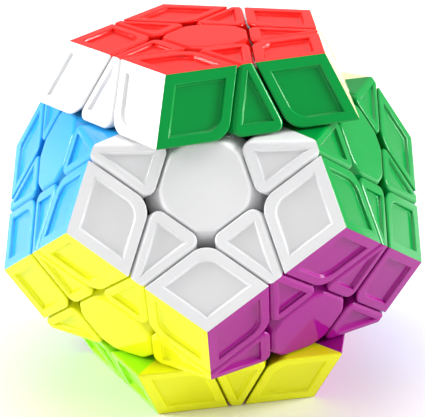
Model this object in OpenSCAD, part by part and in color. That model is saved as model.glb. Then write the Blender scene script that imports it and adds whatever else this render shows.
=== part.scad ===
// Twelve-face twisty puzzle: a dodecahedron with eleven tiles on each face.
// Its centre is the origin, and the red face's layer is at the top, on +Z.
// The two layers that turn, top and bottom, are drawn part-turned.

/* [Puzzle] */
// Length of one edge of the dodecahedron
edge_length = 33; // [30:0.5:42]
// Side of a corner tile, measured along that edge
corner_tile = 15.1; // [12.5:0.1:15.5]
// Gap between neighbouring pieces
layer_gap = 0.4; // [0.3:0.05:0.6]
// How far the top layer is turned from its solved place, in degrees
top_turn = -50.4; // [-180:0.1:180]
// How far the bottom layer is turned from its solved place, in degrees
bottom_turn = 47.5; // [-180:0.1:180]

/* [Tiles] */
// Wall of a coloured shell
shell_wall = 1.8; // [1.2:0.1:2.4]
// Radius of a corner tile's inner tip
corner_tip = 4.9; // [2.5:0.1:6]
// Radius of an edge tile's two inner tips
edge_tip = 1.6; // [1:0.1:4]
// Width of the raised rim round a corner tile's panel
corner_rim = 2.3; // [1.6:0.1:3]
// Radius of that panel's inner tip
panel_tip = 3.6; // [1:0.1:5]
// Width of the raised rim along an edge tile's two sides
edge_rim = 1.7; // [1.4:0.1:2.4]
// Width of the rim at an edge tile's two ends
edge_end_rim = 2.5; // [1.6:0.1:3]
// Depth of the sunk panels
panel_depth = 0.7; // [0.3:0.1:1]
// Thickness of a centre cap
cap_thickness = 3; // [2:0.1:4]
// How much of each corner of a centre cap is cut off
cap_trim = 1.4; // [0.5:0.1:2]
// Radius of the round plug under a centre cap
cap_plug = 5; // [4:0.1:6]
// Length of that plug
cap_plug_length = 2.5; // [1.5:0.1:3]

/* [Mechanism] */
// Radius of the core's ball
core_radius = 12; // [10:0.5:13]
// Radius of the core's twelve arms
arm_radius = 3.4; // [2.5:0.1:3.6]
// Drop from the layer cut down to the top of the feet
foot_drop = 1.9; // [1.5:0.1:2.5]
// Thickness of the feet
foot_thickness = 5.5; // [4:0.1:6]
// Half-angle of the cones that bound the feet
foot_angle = 47; // [46:0.5:48]
// Half-angle of the cones that bound the necks above the feet
neck_angle = 41.5; // [41:0.5:43]
// Height of the block under the shells, from its inner tip to their rims
seam_height = 3.2; // [3:0.1:4]
// Wall of a centre's hollow stem
stem_wall = 0.9; // [0.7:0.1:1.1]
// Floor of that stem, which the spring presses on
stem_floor = 1.7; // [1.2:0.1:2]
// Length of stem that stands out below the feet
stem_reach = 1.2; // [0.8:0.1:1.5]
// Gap between a stem and the end of its arm
stem_clearance = 0.3; // [0.2:0.05:0.5]

/* [Fasteners] */
// Radius of a screw's shank
screw_radius = 1.2; // [0.9:0.05:1.3]
// Length of shank inside the core
screw_hold = 8; // [6:0.5:9]
// Height of a screw's head
screw_head = 2; // [1.6:0.1:2.4]
// Thickness of a washer
washer_thickness = 0.6; // [0.4:0.1:0.8]
// Length of a spring between its stem's floor and its washer
spring_length = 7; // [6:0.5:8]
// Radius of the spring's wire
wire_radius = 0.25; // [0.2:0.05:0.3]
// Turns in a spring
spring_turns = 4; // [3:1:6]
// Radial room round a shank, a spring, a head and a plug
running_clearance = 0.1; // [0.05:0.05:0.15]

/* [Hidden] */
// Angle between neighbouring face normals, and half of it
face_angle = atan(2);
half_face = face_angle / 2;
// Angle of a vertex from its three face normals, and of a pair's bisector from a vertex
vertex_angle = atan(3 - sqrt(5));
vertex_pair = acos(cos(vertex_angle) / cos(half_face));
// Angle of an edge's middle from the third face at its end
third_face = 90 - half_face;
// Centre to face, centre to layer cut, and a length past every corner
face_height = edge_length * sqrt(250 + 110 * sqrt(5)) / 20;
layer_cut = face_height - corner_tile * sin(72) * sin(face_angle);
reach = 2 * edge_length;
// The cut seen by a piece that is inside the layer, and by one outside it
cut_in = layer_cut + layer_gap / 2;
cut_out = layer_cut - layer_gap / 2;
// Feet, from below and from above
foot_top = layer_cut - foot_drop;
foot_base = foot_top - foot_thickness;
// Centre bodies, along the normal of their face
stem_base = foot_base - stem_reach;
arm_root = 0.75 * core_radius;
stem_radius = foot_base * sin(face_angle - foot_angle) - layer_gap;
bore_radius = stem_radius - stem_wall;
cap_seat = face_height - cap_thickness;
// Heights of the seam under the shells, along a corner's or an edge's middle
corner_seam = cut_in / cos(vertex_angle) + seam_height;
edge_seam = cut_in / cos(half_face) + seam_height;
washer_seat = stem_base + stem_floor + spring_length;
head_radius = bore_radius - running_clearance;
// Bisector distance at which a centre's corners are cut off
trim_cut = cut_out / cos(half_face) - cap_trim * sin(third_face);
// Rise of the link that joins an edge's foot to its neck, and the half-angle of its cones
link_rise = 1.5;
link_angle = neck_angle - 2;
// Cross slot in a screw's head
slot_width = 0.6;
slot_length = 1.2 * head_radius;
// Narrowest that the pointed end of an edge tile's panel can be
panel_point = 0.4;
// How far joined shapes overlap and cutting shapes stand past a surface, a width too small to
// matter, and slack for comparing directions
overlap = 1;
sliver = 0.01;
direction_slack = 0.01;
// Flat sides in a rounded tip and in its full circle, sides of a spring's wire and rings in a turn,
// and steps in the hollow under a centre
tip_steps = 4;
tip_sides = 24;
wire_sides = 5;
turn_rings = 8;
underside_steps = 4;
$fn = 48;

// Each face: name, polar angle, azimuth, spin that brings a pole to its local +X, colour
FACES = [
  ["red", 0, -90, 0, "red"],
  ["white", face_angle, -90, 180, "white"],
  ["green", face_angle, -18, 180, "green"],
  ["cream", face_angle, 54, 180, "cornsilk"],
  ["pink", face_angle, 126, 180, "pink"],
  ["sky", face_angle, -162, 180, "deepskyblue"],
  ["purple", 180 - face_angle, -54, 0, "mediumvioletred"],
  ["blue", 180 - face_angle, 18, 0, "mediumblue"],
  ["grey", 180 - face_angle, 90, 0, "gray"],
  ["lime", 180 - face_angle, 162, 0, "greenyellow"],
  ["yellow", 180 - face_angle, -126, 0, "yellow"],
  ["orange", 180, 126, 0, "orange"]
];
TOP_FACES = [for (f = FACES) if (f[1] < 90) f];
BOTTOM_FACES = [for (f = FACES) if (f[1] > 90) f];
SIDE_FACES = [for (f = FACES) if (f[1] > 0 && f[1] < 180) f];
INNER = [
  "core", "screws", "washers", "springs",
  "top_edge_feet", "top_corner_feet", "belt_edge_feet",
  "belt_corner_feet", "bottom_edge_feet", "bottom_corner_feet"
];
NODES = concat(
  INNER,
  [for (f = FACES) str(f[0], "_centre_body")],
  [for (f = FACES) str(f[0], "_centre_cap")],
  [for (f = TOP_FACES) str(f[0], "_top_tiles")],
  [for (f = SIDE_FACES) str(f[0], "_belt_tiles")],
  [for (f = BOTTOM_FACES) str(f[0], "_bottom_tiles")]
);
node = "all";

// ---- Places ----

// Puts local +Z on a face's normal, with a neighbouring face towards local +X.
module on_face(f) {
  rotate([0, 0, f[2]]) rotate([0, f[1], 0]) rotate([0, 0, f[3]]) children();
}

// Puts local +Z on corner m of a face, with that face towards local +X.
module on_corner(f, m) {
  on_face(f) rotate([0, vertex_angle, 36 + 72 * m]) rotate([0, 0, 180]) children();
}

// Puts local +Z on the middle of edge m of a face, with that face towards local +X.
module on_edge(f, m) {
  on_face(f) rotate([0, half_face, 72 * m]) rotate([0, 0, 180]) children();
}

// Height of a point at a local polar angle and azimuth on a face, over its distance out.
function rise(f, polar, azimuth) =
  cos(f[1]) * cos(polar) - sin(f[1]) * sin(polar) * cos(azimuth + f[3]);
// The layer of such a point: 1 for the top, -1 for the bottom, 0 for the belt.
function layer_of(height) = height > layer_cut ? 1 : height < -layer_cut ? -1 : 0;
function corner_layer(f, m) =
  layer_of(rise(f, vertex_angle, 36 + 72 * m) * face_height / cos(vertex_angle));
function edge_layer(f, m) = layer_of(rise(f, half_face, 72 * m) * face_height / cos(half_face));
function layer_turn(layer) = layer > 0 ? top_turn : layer < 0 ? bottom_turn : 0;

// ---- Cutting shapes ----

// Everything past a plane whose normal has this polar angle and azimuth.
module beyond(polar, azimuth, distance) {
  rotate([0, polar, azimuth]) translate([-reach, -reach, distance]) cube(2 * reach);
}

// The cone of a neighbouring layer; a positive shift moves it outwards.
module layer_cone(polar, azimuth, angle, side) {
  rotate([0, polar, azimuth])
    translate([0, 0, side * layer_gap / 2 / sin(angle)])
      cylinder(h = reach, r1 = 0, r2 = reach * tan(angle));
}

// Everything between two planes with the same normal.
module slab(polar, azimuth, low, high) {
  rotate([0, polar, azimuth]) translate([-reach, -reach, low]) cube([2 * reach, 2 * reach, high - low]);
}

// A long prism that opens by `angle` towards +X, with its edge rounded.
module rounded_wedge(angle, radius) {
  half = angle / 2;
  hull() {
    translate([radius / sin(half), 0, 0]) cylinder(h = reach, r = radius, center = true, $fn = tip_sides);
    for (side = [-1, 1])
      translate([reach * cos(half), side * (reach * sin(half) - sliver / 2), 0])
        cube([sliver, sliver, reach], center = true);
  }
}

// The shell between the bottom and the top of the feet.
module foot_shell() {
  difference() {
    sphere(r = foot_top - layer_gap / 2);
    sphere(r = foot_base);
  }
}

// The shell in which an edge's foot and neck join.
module link_shell() {
  difference() {
    sphere(r = foot_top + link_rise);
    sphere(r = (foot_base + foot_top) / 2);
  }
}

// ---- Corner pieces: local +Z is the vertex, the faces are at 0, 120 and 240 degrees ----

// The block between the layer cuts and the outer faces, moved in by `inset`.
module corner_block(inset) {
  intersection_for(k = [0:2]) slab(vertex_angle, 120 * k, cut_in + inset, face_height - inset);
}

module corner_cones(angle) {
  intersection_for(k = [0:2]) layer_cone(vertex_angle, 120 * k, angle, 1);
}

module corner_shell() {
  difference() {
    intersection() {
      intersection_for(k = [0:2])
        rotate([0, vertex_pair, 60 + 120 * k])
          translate([0, 0, cut_in / cos(half_face)])
            rotate([0, -90, 0]) rounded_wedge(180 - face_angle, corner_tip);
      linear_extrude(height = reach)
        polygon([[0, 0], reach * [cos(60), -sin(60)], [reach, 0], reach * [cos(60), sin(60)]]);
    }
    beyond(vertex_angle, 0, face_height);
    beyond(180, 0, -corner_seam);
    corner_block(shell_wall);
    corner_panel();
  }
}

// Points of a rounded tip whose sharp corner would be the origin, opening towards -X.
function tip_arc(angle, radius) = [
  for (s = [0:tip_steps])
    let (t = -90 + angle / 2 + s * (180 - angle) / tip_steps)
      radius * [cos(t) - 1 / sin(angle / 2), sin(t)]
];

// The sunk panel, on the face at 0 degrees: a rhombus with a rounded inner tip.
module corner_panel() {
  side = corner_tile - 2 * corner_rim / sin(72);
  start = corner_rim / sin(54) - face_height * tan(vertex_angle);
  tip = [for (p = tip_arc(108, panel_tip)) p + [2 * side * cos(54), 0]];
  rotate([0, vertex_angle, 0])
    translate([start, 0, face_height])
      linear_extrude(height = 2 * panel_depth, center = true)
        polygon(concat([[0, 0], side * [cos(54), -sin(54)]], tip, [side * [cos(54), sin(54)]]));
}

module corner_foot() {
  intersection() {
    foot_shell();
    corner_cones(foot_angle);
  }
  difference() {
    corner_cones(neck_angle);
    sphere(r = (foot_base + foot_top) / 2);
    beyond(0, 0, corner_seam);
  }
  difference() {
    corner_block(0);
    beyond(0, 0, corner_seam);
  }
  corner_block(shell_wall);
}

// ---- Edge pieces: local +Z is the edge's middle, the faces are at 0 and 180 degrees ----

// The block between the layer cuts and the outer faces, moved in by `inset`.
module edge_block(inset) {
  difference() {
    intersection_for(k = [0:1]) slab(half_face, 180 * k, cut_in + inset, face_height - inset);
    for (k = [0:1]) beyond(third_face, 90 + 180 * k, cut_out - inset);
  }
}

// Inside the cones of the edge's own two layers, and outside those of the layers at its ends.
module edge_cones(own, others) {
  difference() {
    intersection_for(k = [0:1]) layer_cone(half_face, 180 * k, own, 1);
    for (k = [0:1]) layer_cone(third_face, 90 + 180 * k, others, -1);
  }
}

module edge_shell() {
  start = (cut_out - cut_in * cos(face_angle)) / sin(face_angle);
  difference() {
    intersection_for(side = [108, -108])
      rotate([0, half_face, 180]) rotate([0, 0, side]) translate([start, 0, cut_in])
        rotate([90, -90 - third_face, 0]) rounded_wedge(face_angle, edge_tip);
    beyond(half_face, 0, face_height);
    beyond(-90, 0, 0);
    beyond(180, 0, -edge_seam);
    edge_block(shell_wall);
    edge_panel();
  }
}

// The sunk panel, on the face at 0 degrees: its narrow end points at the dodecahedron's edge.
module edge_panel() {
  height = corner_tile * sin(72);
  length = height - 2 * edge_end_rim;
  wide = edge_length - 2 * corner_tile + 2 * (height - edge_end_rim) / tan(72) - 2 * edge_rim / sin(72);
  narrow = max(panel_point, wide - 2 * length / tan(72));
  rotate([0, half_face, 0])
    translate([-face_height * tan(half_face) + edge_end_rim, 0, face_height])
      linear_extrude(height = 2 * panel_depth, center = true)
        polygon([[0, -narrow / 2], [length, -wide / 2], [length, wide / 2], [0, narrow / 2]]);
}

module edge_foot() {
  intersection() {
    foot_shell();
    edge_cones(foot_angle, foot_angle);
  }
  intersection() {
    link_shell();
    edge_cones(link_angle, foot_angle);
  }
  difference() {
    edge_cones(neck_angle, neck_angle);
    for (k = [0:1]) beyond(third_face, 90 + 180 * k, cut_out);
    sphere(r = foot_top + layer_gap / 2);
    beyond(0, 0, edge_seam);
  }
  difference() {
    edge_block(0);
    for (k = [0:1]) layer_cone(third_face, 90 + 180 * k, neck_angle, -1);
    beyond(0, 0, edge_seam);
  }
  edge_block(shell_wall);
}

// ---- Centre pieces: local +Z is the face's normal ----

// The five-sided block between two heights.
module centre_block(low, high) {
  difference() {
    translate([0, 0, low]) cylinder(h = high - low, r = edge_length / 2);
    for (k = [0:4]) beyond(face_angle, 72 * k, cut_out);
    for (k = [0:4]) beyond(third_face, 36 + 72 * k, trim_cut);
  }
}

// The body's outline, turned about its axis: stem, hollow underside over the feet, and flared side.
module centre_body() {
  seat = foot_top + layer_gap / 2;
  flare = face_angle - neck_angle - asin(layer_gap / foot_top);
  inner = asin(stem_radius / seat);
  underside = [
    for (s = [0:underside_steps])
      let (t = inner + s * (flare - inner) / underside_steps)
        seat * [sin(t), cos(t)]
  ];
  plug_floor = cap_seat - cap_plug_length - running_clearance;
  hole = screw_radius + running_clearance;
  difference() {
    rotate_extrude()
      polygon(concat(
        [[hole, stem_base], [stem_radius, stem_base]],
        underside,
        [
          [cap_seat * tan(flare), cap_seat],
          [cap_plug + running_clearance, cap_seat],
          [cap_plug + running_clearance, plug_floor],
          [bore_radius, plug_floor],
          [bore_radius, stem_base + stem_floor],
          [hole, stem_base + stem_floor]
        ]
      ));
    for (k = [0:4]) beyond(face_angle, 72 * k, cut_out);
    for (k = [0:4]) beyond(third_face, 36 + 72 * k, trim_cut);
  }
}

module centre_cap() {
  centre_block(cap_seat, face_height);
  translate([0, 0, cap_seat - cap_plug_length]) cylinder(h = cap_plug_length + overlap, r = cap_plug);
}

// ---- Core and fasteners ----

module all_faces() {
  for (f = FACES) on_face(f) children();
}

module core() {
  color("dimgray")
    difference() {
      union() {
        sphere(r = core_radius);
        all_faces()
          translate([0, 0, arm_root]) cylinder(h = stem_base - stem_clearance - arm_root, r = arm_radius);
      }
      all_faces()
        translate([0, 0, stem_base - screw_hold]) cylinder(h = screw_hold + overlap, r = screw_radius);
    }
}

module screw() {
  difference() {
    union() {
      translate([0, 0, stem_base - screw_hold])
        cylinder(h = washer_seat + washer_thickness - stem_base + screw_hold + overlap, r = screw_radius);
      translate([0, 0, washer_seat + washer_thickness]) cylinder(h = screw_head, r = head_radius);
    }
    for (turn = [0, 90])
      rotate([0, 0, turn])
        translate([-slot_length / 2, -slot_width / 2, washer_seat + washer_thickness + screw_head / 2])
          cube([slot_length, slot_width, screw_head]);
  }
}

module screws() {
  color("silver") all_faces() screw();
}

module washers() {
  color("lightgray")
    all_faces()
      translate([0, 0, washer_seat])
        difference() {
          cylinder(h = washer_thickness, r = head_radius);
          translate([0, 0, -overlap])
            cylinder(h = washer_thickness + 2 * overlap, r = screw_radius + running_clearance);
        }
}

// One spring's wire: rings of points along a helix, closed at both ends.
coil_radius = head_radius - wire_radius;
coil_rise = spring_length - 2 * wire_radius;
coil_rings = spring_turns * turn_rings;

function wire_point(ring, side) =
  let (
    turn = 360 * ring / turn_rings,
    out = coil_radius + wire_radius * cos(360 * side / wire_sides),
    up = wire_radius * (1 + sin(360 * side / wire_sides)) + coil_rise * ring / coil_rings
  )
    [out * cos(turn), out * sin(turn), up];

module spring() {
  points = [for (ring = [0:coil_rings], side = [0:wire_sides - 1]) wire_point(ring, side)];
  walls = [
    for (ring = [0:coil_rings - 1], side = [0:wire_sides - 1])
      let (here = ring * wire_sides, next = (side + 1) % wire_sides)
        [here + side, here + next, here + wire_sides + next, here + wire_sides + side]
  ];
  first = [for (side = [wire_sides - 1:-1:0]) side];
  last = [for (side = [0:wire_sides - 1]) coil_rings * wire_sides + side];
  polyhedron(points = points, faces = concat(walls, [first, last]), convexity = 6);
}

module springs() {
  color("gainsboro") all_faces() translate([0, 0, stem_base + stem_floor]) spring();
}

// ---- The feet, centres and tiles of each layer ----

// Every corner or edge is drawn once, by the first of its faces in the list.
function direction(f, polar, azimuth) =
  let (
    a = azimuth + f[3],
    x = sin(polar) * cos(a) * cos(f[1]) + cos(polar) * sin(f[1]),
    y = sin(polar) * sin(a),
    z = cos(polar) * cos(f[1]) - sin(polar) * cos(a) * sin(f[1])
  )
    [x * cos(f[2]) - y * sin(f[2]), x * sin(f[2]) + y * cos(f[2]), z];
function normal(f) = direction(f, 0, 0);
function owner(d, near) = [for (f = FACES) if (normal(f) * d > near) f[0]][0];
function owns(f, polar, azimuth) =
  owner(direction(f, polar, azimuth), cos(polar) - direction_slack) == f[0];

module edge_feet(layer) {
  color("darkslategray")
    rotate([0, 0, layer_turn(layer)])
      for (f = FACES, m = [0:4])
        if (edge_layer(f, m) == layer && owns(f, half_face, 72 * m))
          on_edge(f, m) edge_foot();
}

module corner_feet(layer) {
  color("slategray")
    rotate([0, 0, layer_turn(layer)])
      for (f = FACES, m = [0:4])
        if (corner_layer(f, m) == layer && owns(f, vertex_angle, 36 + 72 * m))
          on_corner(f, m) corner_foot();
}

// The shells of one colour in one layer.
module tiles(f, layer) {
  color(f[4])
    rotate([0, 0, layer_turn(layer)])
      for (m = [0:4]) {
        if (edge_layer(f, m) == layer) on_edge(f, m) edge_shell();
        if (corner_layer(f, m) == layer) on_corner(f, m) corner_shell();
      }
}

function face_layer(f) = f[1] == 0 ? 1 : f[1] == 180 ? -1 : 0;

module centre(f) {
  color(f[4]) rotate([0, 0, layer_turn(face_layer(f))]) on_face(f) children();
}

function shown(name) = node == "all" || node == name;

if (shown("core")) core();
if (shown("screws")) screws();
if (shown("washers")) washers();
if (shown("springs")) springs();
if (shown("top_edge_feet")) edge_feet(1);
if (shown("top_corner_feet")) corner_feet(1);
if (shown("belt_edge_feet")) edge_feet(0);
if (shown("belt_corner_feet")) corner_feet(0);
if (shown("bottom_edge_feet")) edge_feet(-1);
if (shown("bottom_corner_feet")) corner_feet(-1);
for (f = FACES) if (shown(str(f[0], "_centre_body"))) centre(f) centre_body();
for (f = FACES) if (shown(str(f[0], "_centre_cap"))) centre(f) centre_cap();
for (f = TOP_FACES) if (shown(str(f[0], "_top_tiles"))) tiles(f, 1);
for (f = SIDE_FACES) if (shown(str(f[0], "_belt_tiles"))) tiles(f, 0);
for (f = BOTTOM_FACES) if (shown(str(f[0], "_bottom_tiles"))) tiles(f, -1);
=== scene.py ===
# %% [markdown]
# # A twelve-face twisty puzzle
# The puzzle is a dodecahedron made of 62 moving pieces: 12 centres, 30 edges and 20 corners. Each
# piece wears a coloured plastic shell on every face that it shows. The top and bottom layers are
# part-turned, so their shells no longer line up with the middle of the puzzle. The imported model
# gives every place and size, and this script makes the shells that the eye sees.

# %% Load the frame
from math import atan, cos, pi, radians, sin, sqrt, tan

import bmesh
import bpy
from mathutils import Matrix, Vector


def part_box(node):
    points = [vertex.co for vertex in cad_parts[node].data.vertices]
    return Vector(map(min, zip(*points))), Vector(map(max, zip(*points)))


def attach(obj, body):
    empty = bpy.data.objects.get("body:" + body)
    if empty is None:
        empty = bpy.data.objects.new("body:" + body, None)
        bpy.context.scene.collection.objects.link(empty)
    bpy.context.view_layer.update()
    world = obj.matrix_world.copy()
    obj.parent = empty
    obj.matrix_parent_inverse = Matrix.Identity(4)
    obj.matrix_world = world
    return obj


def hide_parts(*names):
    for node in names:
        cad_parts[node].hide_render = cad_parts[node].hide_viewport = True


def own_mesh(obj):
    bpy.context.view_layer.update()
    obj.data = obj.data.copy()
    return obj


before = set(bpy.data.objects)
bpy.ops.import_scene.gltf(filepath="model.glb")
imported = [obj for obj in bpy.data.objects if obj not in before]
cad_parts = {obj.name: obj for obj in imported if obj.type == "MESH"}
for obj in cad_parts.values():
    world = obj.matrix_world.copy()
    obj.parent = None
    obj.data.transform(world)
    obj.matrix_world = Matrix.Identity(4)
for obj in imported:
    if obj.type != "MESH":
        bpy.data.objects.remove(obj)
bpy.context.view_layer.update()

# %% [markdown]
# ## Sizes from the frame
# Three heights fix the whole puzzle: the top of the red cap, the lowest point of the top layer's
# shells, and the highest point of a side cap. The last two are the two sides of one layer cut. A
# fourth height says where a cap sits on its body.

# %% Measure the puzzle
MM = 0.001
face_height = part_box("red_centre_cap")[1].z
cut_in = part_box("white_top_tiles")[0].z
cut_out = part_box("white_centre_cap")[1].z
cap_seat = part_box("red_centre_body")[1].z
FACE_ANGLE = atan(2)
HALF_FACE = FACE_ANGLE / 2
VERTEX_ANGLE = atan(3 - sqrt(5))
FIFTH = radians(72)
face_radius = face_height * tan(HALF_FACE)
edge_length = 2 * face_radius * tan(FIFTH / 2)
print("edge %.1f mm, face to face %.1f mm" % (edge_length / MM, 2 * face_height / MM))
print("layer cut from %.2f to %.2f mm" % (cut_out / MM, cut_in / MM))


def direction(polar, azimuth):
    """The unit vector at a polar angle from +Z and an azimuth from +X."""
    return Vector((sin(polar) * cos(azimuth), sin(polar) * sin(azimuth), cos(polar)))


# %% [markdown]
# ## Working by hand: start a block, slice it, round it
# A moulded shell has flat walls at odd angles. Slicing a cube with the bisect tool puts each wall
# exactly where its layer cut is, and fills the slice at once. Extruding an outline would only give
# upright walls. Each shell is modelled on a face that looks straight up, and turned into place
# later.

# %% Helpers for slicing
UP = Vector((0, 0, 1))
NEXT = [direction(FACE_ANGLE, FIFTH * k) for k in range(5)]
SLACK = 2e-6


def edit(obj):
    """Opens one object in edit mode with nothing else selected."""
    bpy.ops.object.select_all(action="DESELECT")
    obj.select_set(True)
    bpy.context.view_layer.objects.active = obj
    bpy.ops.object.mode_set(mode="EDIT")


def start_block(name):
    """A cube round one face, open for editing."""
    bpy.ops.object.select_all(action="DESELECT")
    bpy.ops.mesh.primitive_cube_add(size=2 * edge_length, location=(0, 0, face_height))
    bpy.ops.object.transform_apply(location=True, rotation=False, scale=False)
    block = bpy.context.object
    block.name = name
    edit(block)
    return block


def slice_off(normal, distance, keep, fill=True):
    """Cuts with a plane and keeps what is beyond it or below it."""
    bpy.ops.mesh.select_all(action="SELECT")
    bpy.ops.mesh.bisect(
        plane_co=normal * distance,
        plane_no=normal,
        use_fill=fill,
        clear_inner=keep == "beyond",
        clear_outer=keep == "below",
    )


# %% [markdown]
# ## Choosing edges and faces by their place
# Operators act on what is selected. In a script, the surest choice is a test on where the ends of
# an edge are: on a plane, on two planes at once, or near an outline.

# %% Helpers for choosing and rounding
FLAT_ANGLE = radians(0.2)


def choose_edges(obj, wanted, unwanted=()):
    """Selects bent edges whose two ends both pass one wanted test, and no unwanted one."""
    bpy.ops.mesh.select_mode(type="EDGE")
    bpy.ops.mesh.select_all(action="DESELECT")
    mesh = bmesh.from_edit_mesh(obj.data)
    for edge in mesh.edges:
        ends = [v.co for v in edge.verts]
        found = any(all(test(co) for co in ends) for test in wanted)
        shut_out = any(all(test(co) for co in ends) for test in unwanted)
        edge.select_set(found and not shut_out and edge.calc_face_angle(0) > FLAT_ANGLE)
    bmesh.update_edit_mesh(obj.data)
    return sum(edge.select for edge in mesh.edges)


def choose_faces(obj, wanted):
    """Selects the faces whose middle passes a test."""
    bpy.ops.mesh.select_mode(type="FACE")
    bpy.ops.mesh.select_all(action="DESELECT")
    mesh = bmesh.from_edit_mesh(obj.data)
    for face in mesh.faces:
        face.select_set(wanted(face.calc_center_median()))
    bmesh.update_edit_mesh(obj.data)


def round_edges(offset, segments):
    bpy.ops.mesh.bevel(
        offset_type="OFFSET",
        offset=offset,
        segments=segments,
        profile=0.5,
        affect="EDGES",
        clamp_overlap=False,
    )


def on(normal, distance):
    """A test: is a point on this plane?"""
    return lambda co: abs(co.dot(normal) - distance) < SLACK


def every(*tests):
    return lambda co: all(test(co) for test in tests)


def none_of(*tests):
    return lambda co: not any(test(co) for test in tests)


def fillet_reach(radius, angle):
    """How far a fillet of this radius reaches along two walls that meet at this angle."""
    return radius / tan(angle / 2)


wall_in = (cut_in - face_height * cos(FACE_ANGLE)) / sin(FACE_ANGLE)
wall_out = (cut_out - face_height * cos(FACE_ANGLE)) / sin(FACE_ANGLE)
ACROSS = [direction(pi / 2, FIFTH * k) for k in range(5)]
top_face = on(UP, face_height)
outer_edges = [every(top_face, on(across, face_radius)) for across in ACROSS]
print("cut walls meet the face %.2f and %.2f mm out" % (wall_in / MM, wall_out / MM))

# %% [markdown]
# ## The corner shell
# A corner shell is a rhombus. Two of its sides lie on edges of the dodecahedron, where the shell
# meets its two neighbours on the same piece at a mitre. The other two are cut walls, and the tip
# between them is strongly rounded, which leaves a small notch at each corner of the cap. The tip is
# rounded here, while the block still has few edges, and the sunk panel is cut in a later step.

# %% Corner shell
CORNER_TIP = 4.9 * MM
SEAM = 3.2 * MM
TIP_SEGMENTS = 12
corner_way = direction(VERTEX_ANGLE, FIFTH / 2)

corner_shell = start_block("corner_shell")
for wall in NEXT[:2]:
    slice_off(wall, cut_in, "beyond")
    slice_off((UP - wall).normalized(), 0, "beyond")
slice_off(UP, face_height, "below")
slice_off(corner_way, cut_in / cos(VERTEX_ANGLE) + SEAM, "beyond")
tip = every(on(NEXT[0], cut_in), on(NEXT[1], cut_in))
print("tip edges:", choose_edges(corner_shell, [tip]))
round_edges(fillet_reach(CORNER_TIP, pi - FACE_ANGLE), TIP_SEGMENTS)
bpy.ops.object.mode_set(mode="OBJECT")
print("corner shell:", len(corner_shell.data.polygons), "faces")

# %% [markdown]
# ## The edge shell
# An edge shell is a trapezium: narrow at the dodecahedron's edge and wide at the cap, with its two
# inner tips rounded. It is sliced in the same way, but three of its walls are cut walls and only
# one side meets a neighbour.

# %% Edge shell
EDGE_TIP = 1.6 * MM
edge_way = direction(HALF_FACE, 0)

edge_shell = start_block("edge_shell")
slice_off(NEXT[0], cut_in, "beyond")
slice_off(NEXT[1], cut_out, "below")
slice_off(NEXT[4], cut_out, "below")
slice_off((UP - NEXT[0]).normalized(), 0, "beyond")
slice_off(UP, face_height, "below")
slice_off(edge_way, cut_in / cos(HALF_FACE) + SEAM, "beyond")
tips = [every(on(NEXT[0], cut_in), on(NEXT[k], cut_out)) for k in (1, 4)]
print("tip edges:", choose_edges(edge_shell, tips))
round_edges(fillet_reach(EDGE_TIP, FACE_ANGLE), TIP_SEGMENTS)
bpy.ops.object.mode_set(mode="OBJECT")
print("edge shell:", len(edge_shell.data.polygons), "faces")

# %% [markdown]
# ## Sunk panels
# Each shell has a shallow panel inside a raised rim. An inset of the top face would give the panel
# the same rounded tip as the shell, and would fold over itself at the narrow end of an edge shell.
# The real rims are not even: an edge shell's is wider beside the cap, and its panel runs to a point
# at the other end. So each panel is cut with a plug. A flat plane is sliced to the panel's outline
# and extruded down, and a boolean takes it away from the shell. The corner shell's plug has its
# inner tip rounded first, with a vertex bevel.

# %% Cut the panels


def take_away(obj, plug):
    """Cuts one object out of another, deletes the cutter and joins split flat faces."""
    bpy.ops.object.select_all(action="DESELECT")
    bpy.context.view_layer.objects.active = obj
    cut = obj.modifiers.new("cut", "BOOLEAN")
    cut.operation = "DIFFERENCE"
    cut.solver = "EXACT"
    cut.object = plug
    bpy.ops.object.modifier_apply(modifier=cut.name)
    bpy.data.objects.remove(plug)
    edit(obj)
    bpy.ops.mesh.select_all(action="SELECT")
    bpy.ops.mesh.dissolve_limited(angle_limit=FLAT_ANGLE)
    bpy.ops.object.mode_set(mode="OBJECT")


PANEL_DEPTH = 0.7 * MM
PLUG_TOP = 1 * MM
PANEL_TIP_SEGMENTS = 8
panel_floor = face_height - PANEL_DEPTH


def cut_panel(shell, sides, tip_reach):
    """Sinks a panel. Each side is its direction, its distance and what to keep."""
    bpy.ops.object.select_all(action="DESELECT")
    bpy.ops.mesh.primitive_plane_add(size=2 * edge_length, location=(0, 0, face_height + PLUG_TOP))
    bpy.ops.object.transform_apply(location=True, rotation=False, scale=False)
    plug = bpy.context.object
    edit(plug)
    for way, distance, keep in sides:
        slice_off(way, distance, keep, fill=False)
    if tip_reach:
        round_tip(plug, tip_reach)
    bpy.ops.mesh.select_all(action="SELECT")
    bpy.ops.mesh.extrude_region_move(
        TRANSFORM_OT_translate={"value": (0, 0, -PLUG_TOP - PANEL_DEPTH)}
    )
    bpy.ops.mesh.select_all(action="SELECT")
    bpy.ops.mesh.normals_make_consistent(inside=False)
    bpy.ops.object.mode_set(mode="OBJECT")
    print(shell.name, "plug:", len(plug.data.vertices) // 2, "corners")
    take_away(shell, plug)


def round_tip(plug, reach):
    """Rounds the corner nearest the middle of the face, over this reach along its sides."""
    bpy.ops.mesh.select_mode(type="VERT")
    bpy.ops.mesh.select_all(action="DESELECT")
    mesh = bmesh.from_edit_mesh(plug.data)
    min(mesh.verts, key=lambda v: v.co.xy.length).select_set(True)
    bmesh.update_edit_mesh(plug.data)
    bpy.ops.mesh.bevel(
        offset=reach,
        segments=PANEL_TIP_SEGMENTS,
        affect="VERTICES",
        clamp_overlap=False,
    )


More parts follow.
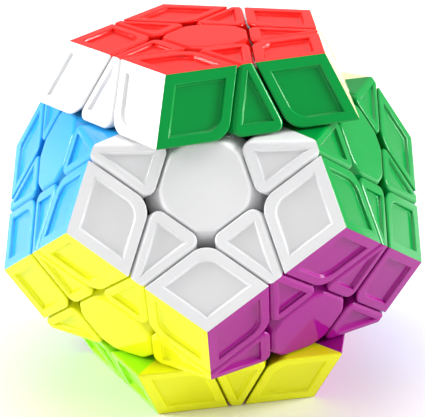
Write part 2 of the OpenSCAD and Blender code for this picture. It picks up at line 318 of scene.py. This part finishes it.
CORNER_RIM = 2.3 * MM
PANEL_TIP = 3.6 * MM
EDGE_RIM = 1.7 * MM
EDGE_END_RIM = 2.5 * MM
TIP_ANGLE = 1.5 * FIFTH
corner_sides = [
    (ACROSS[0], wall_in + CORNER_RIM, "beyond"),
    (ACROSS[1], wall_in + CORNER_RIM, "beyond"),
    (ACROSS[0], face_radius - CORNER_RIM, "below"),
    (ACROSS[1], face_radius - CORNER_RIM, "below"),
]
edge_sides = [
    (ACROSS[0], wall_in + EDGE_END_RIM, "beyond"),
    (ACROSS[1], wall_out - EDGE_RIM, "below"),
    (ACROSS[4], wall_out - EDGE_RIM, "below"),
]
cut_panel(corner_shell, corner_sides, fillet_reach(PANEL_TIP, TIP_ANGLE))
cut_panel(edge_shell, edge_sides, 0)

# %% [markdown]
# ## Hollow shells
# A moulded shell is 1.8 mm thick and open behind, where its piece's foot fills it. A smaller
# block, made by the same slices moved in by one wall, is cut out of the inside. This comes before
# any edge is rounded, because a boolean is most reliable on a few large flat faces.

# %% Hollow the shells
SHELL_WALL = 1.8 * MM


def hollow(shell, walls_in, walls_out):
    """Cuts out the inside of a shell: its own walls, moved in."""
    inside = start_block("inside")
    for wall in walls_in:
        slice_off(wall, cut_in + SHELL_WALL, "beyond")
    for wall in walls_out:
        slice_off(wall, cut_out - SHELL_WALL, "below")
    slice_off(UP, face_height - SHELL_WALL, "below")
    bpy.ops.object.mode_set(mode="OBJECT")
    take_away(shell, inside)
    print(shell.name, "hollowed:", len(shell.data.polygons), "faces")


hollow(corner_shell, NEXT[:2], [])
hollow(edge_shell, NEXT[:1], [NEXT[1], NEXT[4]])

# %% [markdown]
# ## Rounding the shells
# Every moulded edge is rounded. The edges along the layer cuts are soft, so that the layers glide
# over each other, and they catch a line of light. The edges where two shells of one piece meet
# stay crisp. Choosing each group by its place and bevelling it in turn gives each its own radius.
# A narrow inset round the panel's floor keeps the shading of the fillet off the flat.
# Weighted normals then keep the flats flat beside the fillets.

# %% Round the shells
SOFT_EDGE = 0.6 * MM
CRISP_EDGE = 0.1 * MM
PANEL_FILLET = 0.3 * MM
PANEL_LIP = 0.34 * MM
FLAT_MARGIN = 0.15 * MM
NEAR_WALL = 1.35 * MM
SMOOTH_ANGLE = radians(50)
FLAT_WEIGHT = 100
FILLET_SEGMENTS = 4
CRISP_SEGMENTS = 1


def near_corner_walls(co):
    return min(co.dot(ACROSS[0]), co.dot(ACROSS[1])) < wall_in + NEAR_WALL


def near_edge_walls(co):
    beside = max(co.dot(ACROSS[1]), co.dot(ACROSS[4])) > wall_out - NEAR_WALL
    return beside or co.dot(ACROSS[0]) < wall_in + NEAR_WALL


def finish_mesh(obj):
    """Smooth shading that keeps sharp edges sharp and flat faces flat."""
    bpy.ops.object.select_all(action="DESELECT")
    bpy.context.view_layer.objects.active = obj
    obj.select_set(True)
    bpy.ops.object.shade_smooth_by_angle(angle=SMOOTH_ANGLE)
    weighted = obj.modifiers.new("weighted", "WEIGHTED_NORMAL")
    weighted.keep_sharp = True
    weighted.weight = FLAT_WEIGHT
    bpy.ops.object.modifier_apply(modifier=weighted.name)


def round_shell(shell, near_walls):
    """Rounds the panel's floor and lip, then the soft edges, then the crisp ones."""
    edit(shell)
    soft = every(top_face, near_walls)
    lip = every(top_face, none_of(near_walls, *outer_edges))
    counts = [choose_edges(shell, [on(UP, panel_floor)])]
    round_edges(PANEL_FILLET, FILLET_SEGMENTS)
    choose_faces(shell, on(UP, panel_floor))
    bpy.ops.mesh.inset(thickness=FLAT_MARGIN, depth=0)
    counts.append(choose_edges(shell, [lip]))
    round_edges(PANEL_LIP, FILLET_SEGMENTS)
    counts.append(choose_edges(shell, [soft], outer_edges))
    round_edges(SOFT_EDGE, FILLET_SEGMENTS)
    counts.append(choose_edges(shell, outer_edges))
    round_edges(CRISP_EDGE, CRISP_SEGMENTS)
    bpy.ops.object.mode_set(mode="OBJECT")
    finish_mesh(shell)
    print(shell.name, "edges rounded: floor, lip, soft and crisp", counts)


round_shell(corner_shell, near_corner_walls)
round_shell(edge_shell, near_edge_walls)

# %% [markdown]
# ## The centre cap
# A cap is a flat pentagon with its five corners cut off, so that each makes one side of a notch.
# It has no panel. Its rim is rounded more than a shell's, because fingers push on it. The corner
# facets and the walls are sliced as before, and two bevels round the upright corners and the rim.

# %% Centre cap
CAP_TRIM = 1.4 * MM
CAP_CORNER = 0.9 * MM
CAP_RIM = 0.55 * MM
CAP_RIM_SEGMENTS = 5
trim_ways = [direction(pi / 2 - HALF_FACE, FIFTH * (k + 0.5)) for k in range(5)]
trim_cut = cut_out / cos(HALF_FACE) - CAP_TRIM * cos(HALF_FACE)

centre_cap = start_block("centre_cap")
slice_off(UP, face_height, "below")
slice_off(UP, cap_seat, "beyond")
for k in range(5):
    slice_off(NEXT[k], cut_out, "below")
    slice_off(trim_ways[k], trim_cut, "below")
upright = [
    every(on(wall, cut_out), on(way, trim_cut)) for wall in NEXT for way in trim_ways
]
print("upright corners:", choose_edges(centre_cap, upright))
round_edges(CAP_CORNER, FILLET_SEGMENTS)
print("rim edges:", choose_edges(centre_cap, [top_face]))
round_edges(CAP_RIM, CAP_RIM_SEGMENTS)
bpy.ops.object.mode_set(mode="OBJECT")
finish_mesh(centre_cap)
print("centre cap:", len(centre_cap.data.polygons), "faces")

# %% [markdown]
# ## Moulded plastic
# The shells are dyed in the mass and polished, so one plastic serves for all twelve, with its own
# dye. Two effects make it real. The first is the faint unevenness that a mould leaves, which bends
# reflections a little. The second is handling: smudges and hairline scratches that dull the gloss
# in places. Each is a node group, so every dye shares it. The sunk panels were left with the mould's
# finer, duller grain, so they get a second material of the same dye. Its colour is also made a
# little darker: painted shade, standing in for the recess's shade and the glossy rim's brighter
# sheen.

# %% Node helpers


def new_group(name, inputs, outputs):
    """An empty shader node group with named sockets: (its tree, its input node, its output node)."""
    tree = bpy.data.node_groups.new(name, "ShaderNodeTree")
    for socket, kind, value in inputs:
        made = tree.interface.new_socket(socket, in_out="INPUT", socket_type=kind)
        made.default_value = value
    for socket, kind in outputs:
        tree.interface.new_socket(socket, in_out="OUTPUT", socket_type=kind)
    return tree, tree.nodes.new("NodeGroupInput"), tree.nodes.new("NodeGroupOutput")


def noise(tree, where, scale, detail, roughness=0.5):
    """A noise texture at a place in space."""
    node = tree.nodes.new("ShaderNodeTexNoise")
    node.inputs["Scale"].default_value = scale
    node.inputs["Detail"].default_value = detail
    node.inputs["Roughness"].default_value = roughness
    tree.links.new(where, node.inputs["Vector"])
    return node.outputs["Fac"]


def spread(tree, value, low, high, to_low, to_high):
    """Maps one range of a value to another, and clamps it."""
    node = tree.nodes.new("ShaderNodeMapRange")
    for socket, number in zip(node.inputs[1:5], (low, high, to_low, to_high)):
        socket.default_value = number
    tree.links.new(value, node.inputs["Value"])
    return node.outputs["Result"]


def combine(tree, operation, first, second):
    """A math node on two sockets."""
    node = tree.nodes.new("ShaderNodeMath")
    node.operation = operation
    tree.links.new(first, node.inputs[0])
    tree.links.new(second, node.inputs[1])
    return node.outputs["Value"]


# %% Effect: mould surface
RIPPLE_SCALE = 140
GRAIN_SCALE = 2600

tree, given, result = new_group(
    "mould_surface",
    [("Vector", "NodeSocketVector", (0, 0, 0)), ("Grain", "NodeSocketFloat", 0.3)],
    [("Height", "NodeSocketFloat")],
)
ripple = noise(tree, given.outputs["Vector"], RIPPLE_SCALE, 2)
grain = noise(tree, given.outputs["Vector"], GRAIN_SCALE, 3, 0.6)
fine = combine(tree, "MULTIPLY", grain, given.outputs["Grain"])
tree.links.new(combine(tree, "ADD", ripple, fine), result.inputs["Height"])
mould_surface = tree

# %% Effect: handling
SMEAR_SCALE = 55
HAIRLINE_SCALES = (160, 2400, 900)
HAIRLINE_TURN = (0.5, 0.9, 0.4)
DRIFT_SCALE = 25

tree, given, result = new_group(
    "handling",
    [
        ("Vector", "NodeSocketVector", (0, 0, 0)),
        ("Polish", "NodeSocketFloat", 0.15),
        ("Smudge", "NodeSocketFloat", 0.1),
    ],
    [("Roughness", "NodeSocketFloat"), ("Shade", "NodeSocketFloat")],
)
smudges = noise(tree, given.outputs["Vector"], SMEAR_SCALE, 4, 0.6)
smear = spread(tree, smudges, 0.45, 0.72, 0, 1)
stretch = tree.nodes.new("ShaderNodeMapping")
stretch.inputs["Scale"].default_value = HAIRLINE_SCALES
stretch.inputs["Rotation"].default_value = HAIRLINE_TURN
tree.links.new(given.outputs["Vector"], stretch.inputs["Vector"])
hairline = spread(tree, noise(tree, stretch.outputs["Vector"], 1, 2), 0.66, 0.74, 0, 0.6)
worn = combine(tree, "MAXIMUM", smear, hairline)
dulled = combine(tree, "MULTIPLY", worn, given.outputs["Smudge"])
tree.links.new(combine(tree, "ADD", dulled, given.outputs["Polish"]), result.inputs["Roughness"])
drift = noise(tree, given.outputs["Vector"], DRIFT_SCALE, 3)
tree.links.new(spread(tree, drift, 0.3, 0.7, 0, 1), result.inputs["Shade"])
handling = tree


# %% The plastic itself
# A colour Mix node has several sockets called A, B and Result, so its colour ones go by number
COLOUR_A = 6
COLOUR_B = 7
MIXED_COLOUR = 2
PLASTIC_IOR = 1.46
PLASTIC_SPECULAR = 0.3


def new_material(name):
    material = bpy.data.materials.new(name)
    material.use_nodes = True
    tree = material.node_tree
    place = tree.nodes.new("ShaderNodeTexCoord").outputs["Object"]
    return material, tree, tree.nodes["Principled BSDF"], place


def add_group(tree, group, where, **values):
    node = tree.nodes.new("ShaderNodeGroup")
    node.node_tree = group
    tree.links.new(where, node.inputs["Vector"])
    for name, value in values.items():
        node.inputs[name].default_value = value
    return node.outputs


def add_bump(tree, shader, height, distance, strength):
    bump = tree.nodes.new("ShaderNodeBump")
    bump.inputs["Distance"].default_value = distance
    bump.inputs["Strength"].default_value = strength
    tree.links.new(height, bump.inputs["Height"])
    tree.links.new(bump.outputs["Normal"], shader.inputs["Normal"])


def add_shades(tree, shader, mask, dark, light):
    """Base colour that drifts between two shades of one dye."""
    mix = tree.nodes.new("ShaderNodeMix")
    mix.data_type = "RGBA"
    mix.inputs[COLOUR_A].default_value = (*dark, 1)
    mix.inputs[COLOUR_B].default_value = (*light, 1)
    tree.links.new(mask, mix.inputs["Factor"])
    tree.links.new(mix.outputs[MIXED_COLOUR], shader.inputs["Base Color"])


def dyed_plastic(name, dye, polish, grain):
    """Glossy moulded plastic of one dye."""
    material, tree, shader, place = new_material(name)
    wear = add_group(tree, handling, place, Polish=polish, Smudge=0.12)
    add_shades(tree, shader, wear["Shade"], [c * 0.96 for c in dye], dye)
    tree.links.new(wear["Roughness"], shader.inputs["Roughness"])
    surface = add_group(tree, mould_surface, place, Grain=grain)
    add_bump(tree, shader, surface["Height"], 0.00004, 0.35)
    shader.inputs["IOR"].default_value = PLASTIC_IOR
    shader.inputs["Specular IOR Level"].default_value = PLASTIC_SPECULAR
    return material


# Each dye as linear red, green and blue
DYES = {
    "red": (0.84, 0.012, 0.008),
    "white": (0.80, 0.80, 0.81),
    "green": (0.0, 0.25, 0.04),
    "cream": (0.90, 0.80, 0.50),
    "pink": (0.88, 0.30, 0.45),
    "sky": (0.025, 0.38, 0.82),
    "purple": (0.29, 0.005, 0.2),
    "blue": (0.008, 0.03, 0.40),
    "grey": (0.25, 0.25, 0.27),
    "lime": (0.36, 0.88, 0.01),
    "yellow": (0.84, 0.86, 0.01),
    "orange": (0.90, 0.20, 0.01),
}
# Share of the dye that the panels keep: painted shade in the sunk panel, standing in for the
# recess's shade and the rim's brighter sheen
PAINTED_PANEL_SHADE = 0.94
RIM_POLISH, RIM_GRAIN = 0.07, 0.1
PANEL_POLISH, PANEL_GRAIN = 0.16, 0.3
plastics = {}
panels = {}
for name, dye in DYES.items():
    painted_shade_dye = [c * PAINTED_PANEL_SHADE for c in dye]
    plastics[name] = dyed_plastic(name + " plastic", dye, RIM_POLISH, RIM_GRAIN)
    panels[name] = dyed_plastic(name + " panel", painted_shade_dye, PANEL_POLISH, PANEL_GRAIN)
print("plastics:", len(plastics) + len(panels))

# %% [markdown]
# ## Two materials on one shell
# The floor of the sunk panel is chosen by its height, and gets the second material slot. This is
# done once on each model shell, and every copy keeps it.

# %% Mark the panel floors
LEVEL = 0.999


def mark_panel(shell):
    """Two slots, and the panel's floor in the second."""
    for material in (plastics["white"], panels["white"]):
        shell.data.materials.append(material)
    marked = 0
    for face in shell.data.polygons:
        if face.normal.z > LEVEL and abs(face.center.z - panel_floor) < SLACK:
            face.material_index = 1
            marked += 1
    print(shell.name, "panel faces:", marked)


mark_panel(corner_shell)
mark_panel(edge_shell)
centre_cap.data.materials.append(plastics["white"])

# %% [markdown]
# ## Putting the shells in place
# Each model shell was made on a face that looks up, with a neighbour towards +X. Three turns take
# it to any face, and a fourth takes it round with its layer. The place goes into the mesh, and the
# object stays at the origin. Each copy is given the frame's body that it moves with.

# %% Place every shell and cap
TOP_TURN = radians(-50.4)
BOTTOM_TURN = radians(47.5)
# Azimuths of the faces round the upper and the lower half, in degrees
RING = [-90, -18, 54, 126, -162]
LOW_RING = [-54, 18, 90, 162, -126]
UPPER = ["white", "green", "cream", "pink", "sky"]
LOWER = ["purple", "blue", "grey", "lime", "yellow"]
# Each colour's face: its polar angle, its azimuth, and the spin that points one side at a pole
FACES = {"red": (0, radians(-90), 0), "orange": (pi, radians(126), 0)}
for name, azimuth in zip(UPPER, RING):
    FACES[name] = (FACE_ANGLE, radians(azimuth), pi)
for name, azimuth in zip(LOWER, LOW_RING):
    FACES[name] = (pi - FACE_ANGLE, radians(azimuth), 0)
LAYERS = {
    1: ("top", "top_layer", TOP_TURN),
    0: ("belt", "core_and_belt", 0),
    -1: ("bottom", "bottom_layer", BOTTOM_TURN),
}


def face_place(name):
    polar, azimuth, spin = FACES[name]
    turns = [Matrix.Rotation(azimuth, 4, "Z"), Matrix.Rotation(polar, 4, "Y")]
    return turns[0] @ turns[1] @ Matrix.Rotation(spin, 4, "Z")


def layer_of(point):
    """1 for the top layer, -1 for the bottom one and 0 for the belt."""
    return int(point.z > cut_in) - int(point.z < -cut_in)


def copy_shell(model, name, place, materials, body, node):
    """A copy of a model shell with its own mesh, in place, riding on its body."""
    piece = bpy.data.objects.new(name, model.data.copy())
    bpy.context.scene.collection.objects.link(piece)
    piece.data.transform(place)
    for index, material in enumerate(materials):
        piece.data.materials[index] = material
    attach(piece, body)
    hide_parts(node)
    return piece


edge_point = edge_way * face_height / cos(HALF_FACE)
corner_point = corner_way * face_height / cos(VERTEX_ANGLE)
models = [(edge_shell, edge_point, "edge"), (corner_shell, corner_point, "corner")]
placed = 0
for name in FACES:
    looks = [plastics[name], panels[name]]
    for step in range(5):
        spot = face_place(name) @ Matrix.Rotation(FIFTH * step, 4, "Z")
        for model, point, kind in models:
            layer, body, turn = LAYERS[layer_of(spot @ point)]
            copy_shell(
                model,
                f"{name}_{kind}_shell_{step + 1}",
                Matrix.Rotation(turn, 4, "Z") @ spot,
                looks,
                body,
                f"{name}_{layer}_tiles",
            )
            placed += 1
    turn = {"red": TOP_TURN, "orange": BOTTOM_TURN}.get(name, 0)
    copy_shell(
        centre_cap,
        name + "_cap",
        Matrix.Rotation(turn, 4, "Z") @ face_place(name),
        looks[:1],
        name + "_centre",
        name + "_centre_cap",
    )
for model in (corner_shell, edge_shell, centre_cap):
    bpy.data.objects.remove(model)
print("shells placed:", placed)

# %% [markdown]
# ## The inside
# The core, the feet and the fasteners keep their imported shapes, which are exact. They show only as
# dark slits between the layers, but each gets the finish of its real material: duller nylon for
# the feet and the core, and steel with fine turning marks for the screws, washers and springs.

# %% Finishes of the inner pieces


def dull_plastic(name, shade):
    """Unpolished nylon."""
    material, tree, shader, place = new_material(name)
    wear = add_group(tree, handling, place, Polish=0.42, Smudge=0.15)
    add_shades(tree, shader, wear["Shade"], [c * 0.85 for c in shade], shade)
    tree.links.new(wear["Roughness"], shader.inputs["Roughness"])
    surface = add_group(tree, mould_surface, place, Grain=1.0)
    add_bump(tree, shader, surface["Height"], 0.00005, 0.5)
    return material


def steel(name, shade, polish):
    """Bright steel with faint marks."""
    material, tree, shader, place = new_material(name)
    wear = add_group(tree, handling, place, Polish=polish, Smudge=0.2)
    add_shades(tree, shader, wear["Shade"], [c * 0.8 for c in shade], shade)
    tree.links.new(wear["Roughness"], shader.inputs["Roughness"])
    surface = add_group(tree, mould_surface, place, Grain=0.6)
    add_bump(tree, shader, surface["Height"], 0.00002, 0.4)
    shader.inputs["Metallic"].default_value = 1
    return material


core_nylon = dull_plastic("core nylon", (0.03, 0.03, 0.033))
foot_nylon = dull_plastic("foot nylon", (0.05, 0.05, 0.055))
screw_steel = steel("screw steel", (0.6, 0.6, 0.61), 0.22)
washer_steel = steel("washer steel", (0.62, 0.62, 0.63), 0.32)
spring_steel = steel("spring steel", (0.5, 0.5, 0.52), 0.18)
INSIDE = {"core": core_nylon, "screws": screw_steel, "washers": washer_steel}


def inner_finish(node):
    if node.endswith("_feet"):
        return foot_nylon
    if node.endswith("_centre_body"):
        return plastics[node.removesuffix("_centre_body")]
    return INSIDE.get(node)


finished = 0
for node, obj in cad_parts.items():
    finish = inner_finish(node)
    if finish:
        obj.data.materials.clear()
        obj.data.materials.append(finish)
        finished += 1
print("inner nodes finished:", finished)

# %% [markdown]
# ## Springs
# A coil spring in each centre presses it home, and gives when a finger pulls. The imported springs
# are rigid, so each is made again here: one round section of wire is swept up a helix by a Screw
# modifier, and its two ends are closed. Each spring rides on the core and belt.

# %% Coil springs
WIRE = 0.25 * MM
WIRE_SIDES = 10
COIL_RADIUS = 3.0 * MM
SPRING_LENGTH = 6.97 * MM
TURNS = 4
STEPS_PER_TURN = 20
spring_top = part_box("springs")[1].z

bpy.ops.object.select_all(action="DESELECT")
bpy.ops.mesh.primitive_circle_add(
    vertices=WIRE_SIDES,
    radius=WIRE,
    location=(COIL_RADIUS, 0, spring_top - SPRING_LENGTH + WIRE),
    rotation=(pi / 2, 0, 0),
)
bpy.ops.object.transform_apply(location=True, rotation=True, scale=False)
spring = bpy.context.object
helix = spring.modifiers.new("helix", "SCREW")
helix.steps = STEPS_PER_TURN
helix.render_steps = STEPS_PER_TURN
helix.iterations = TURNS
helix.screw_offset = (SPRING_LENGTH - 2 * WIRE) / TURNS
bpy.ops.object.modifier_apply(modifier=helix.name)
edit(spring)
bpy.ops.mesh.select_all(action="SELECT")
bpy.ops.mesh.fill_holes(sides=0)
bpy.ops.mesh.select_all(action="SELECT")
bpy.ops.mesh.normals_make_consistent(inside=False)
bpy.ops.object.mode_set(mode="OBJECT")
finish_mesh(spring)
spring.data.materials.append(spring_steel)

for name, (polar, azimuth, spin) in FACES.items():
    piece = copy_shell(
        spring,
        name + "_spring",
        face_place(name),
        [spring_steel],
        "core_and_belt",
        "springs",
    )
    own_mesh(piece)
print("springs:", len(FACES), "of", len(spring.data.polygons), "faces each")
bpy.data.objects.remove(spring)

# %% [markdown]
# ## Floor, light and camera
# The floor is one plain pale sheet, much larger than the puzzle. Soft lamps stand to the left, to
# the right and overhead, and a weaker one in front, so the faces that look up and sideways are
# brighter than the one that looks at the camera. The camera looks down by about 21 degrees with a
# long lens.

# %% Floor
FLOOR_SIZE = 6.0
FLOOR_SHADE = 0.86
FLOOR_ROUGHNESS = 0.7
bpy.ops.object.select_all(action="DESELECT")
bpy.ops.mesh.primitive_plane_add(size=FLOOR_SIZE, location=(0, 0, -face_height))
floor = bpy.context.object
floor.name = "floor"
paper, _, shader, _ = new_material("pale floor")
shader.inputs["Base Color"].default_value = (FLOOR_SHADE, FLOOR_SHADE, FLOOR_SHADE, 1)
shader.inputs["Roughness"].default_value = FLOOR_ROUGHNESS
floor.data.materials.append(paper)


# %% Lights
# Each lamp's place in metres, its width in metres and its power in watts
LAMPS = {
    "overhead": ((0, 0.1, 1.0), 0.8, 5.5),
    "left": ((-0.85, 0.05, 0.35), 0.35, 9),
    "right": ((0.85, 0.1, 0.25), 0.35, 12),
    "front": ((0.1, -1.3, 0.1), 0.7, 3),
}
STUDIO_LIGHT = 0.42


def soft_lamp(name, place, size, power):
    """A square lamp that looks at the puzzle."""
    light = bpy.data.lights.new(name, "AREA")
    light.shape = "SQUARE"
    light.size = size
    light.energy = power
    lamp = bpy.data.objects.new(name, light)
    lamp.location = place
    lamp.rotation_euler = (-Vector(place)).to_track_quat("-Z", "Y").to_euler()
    bpy.context.scene.collection.objects.link(lamp)


for name, (place, size, power) in LAMPS.items():
    soft_lamp(name, place, size, power)
world = bpy.data.worlds.new("studio")
world.use_nodes = True
background = world.node_tree.nodes["Background"]
background.inputs["Color"].default_value = (1, 1, 1, 1)
background.inputs["Strength"].default_value = STUDIO_LIGHT
bpy.context.scene.world = world
bpy.context.scene.view_settings.view_transform = "Standard"

# %% Camera
AZIMUTH = radians(2.31)
ELEVATION = radians(21.31)
ROLL = radians(-1.98)
EDGES_AWAY = 10.662
SENSOR_WIDTH = 36
LENS_LENGTH = 140.3
LENS_SHIFT = -0.0146
camera_distance = EDGES_AWAY * edge_length
back = Vector((sin(AZIMUTH) * cos(ELEVATION), -cos(AZIMUTH) * cos(ELEVATION), sin(ELEVATION)))
level = Vector((cos(AZIMUTH), sin(AZIMUTH), 0))
over = back.cross(level)
right = level * cos(ROLL) + over * sin(ROLL)
up = over * cos(ROLL) - level * sin(ROLL)
lens = bpy.data.cameras.new("camera")
lens.sensor_width = SENSOR_WIDTH
lens.lens = LENS_LENGTH
lens.shift_y = LENS_SHIFT
camera = bpy.data.objects.new("camera", lens)
turned = Matrix((right, up, back)).transposed().to_4x4()
camera.matrix_world = Matrix.Translation(back * camera_distance) @ turned
bpy.context.scene.collection.objects.link(camera)
bpy.context.scene.camera = camera
print("camera at", [round(x, 3) for x in camera.location])
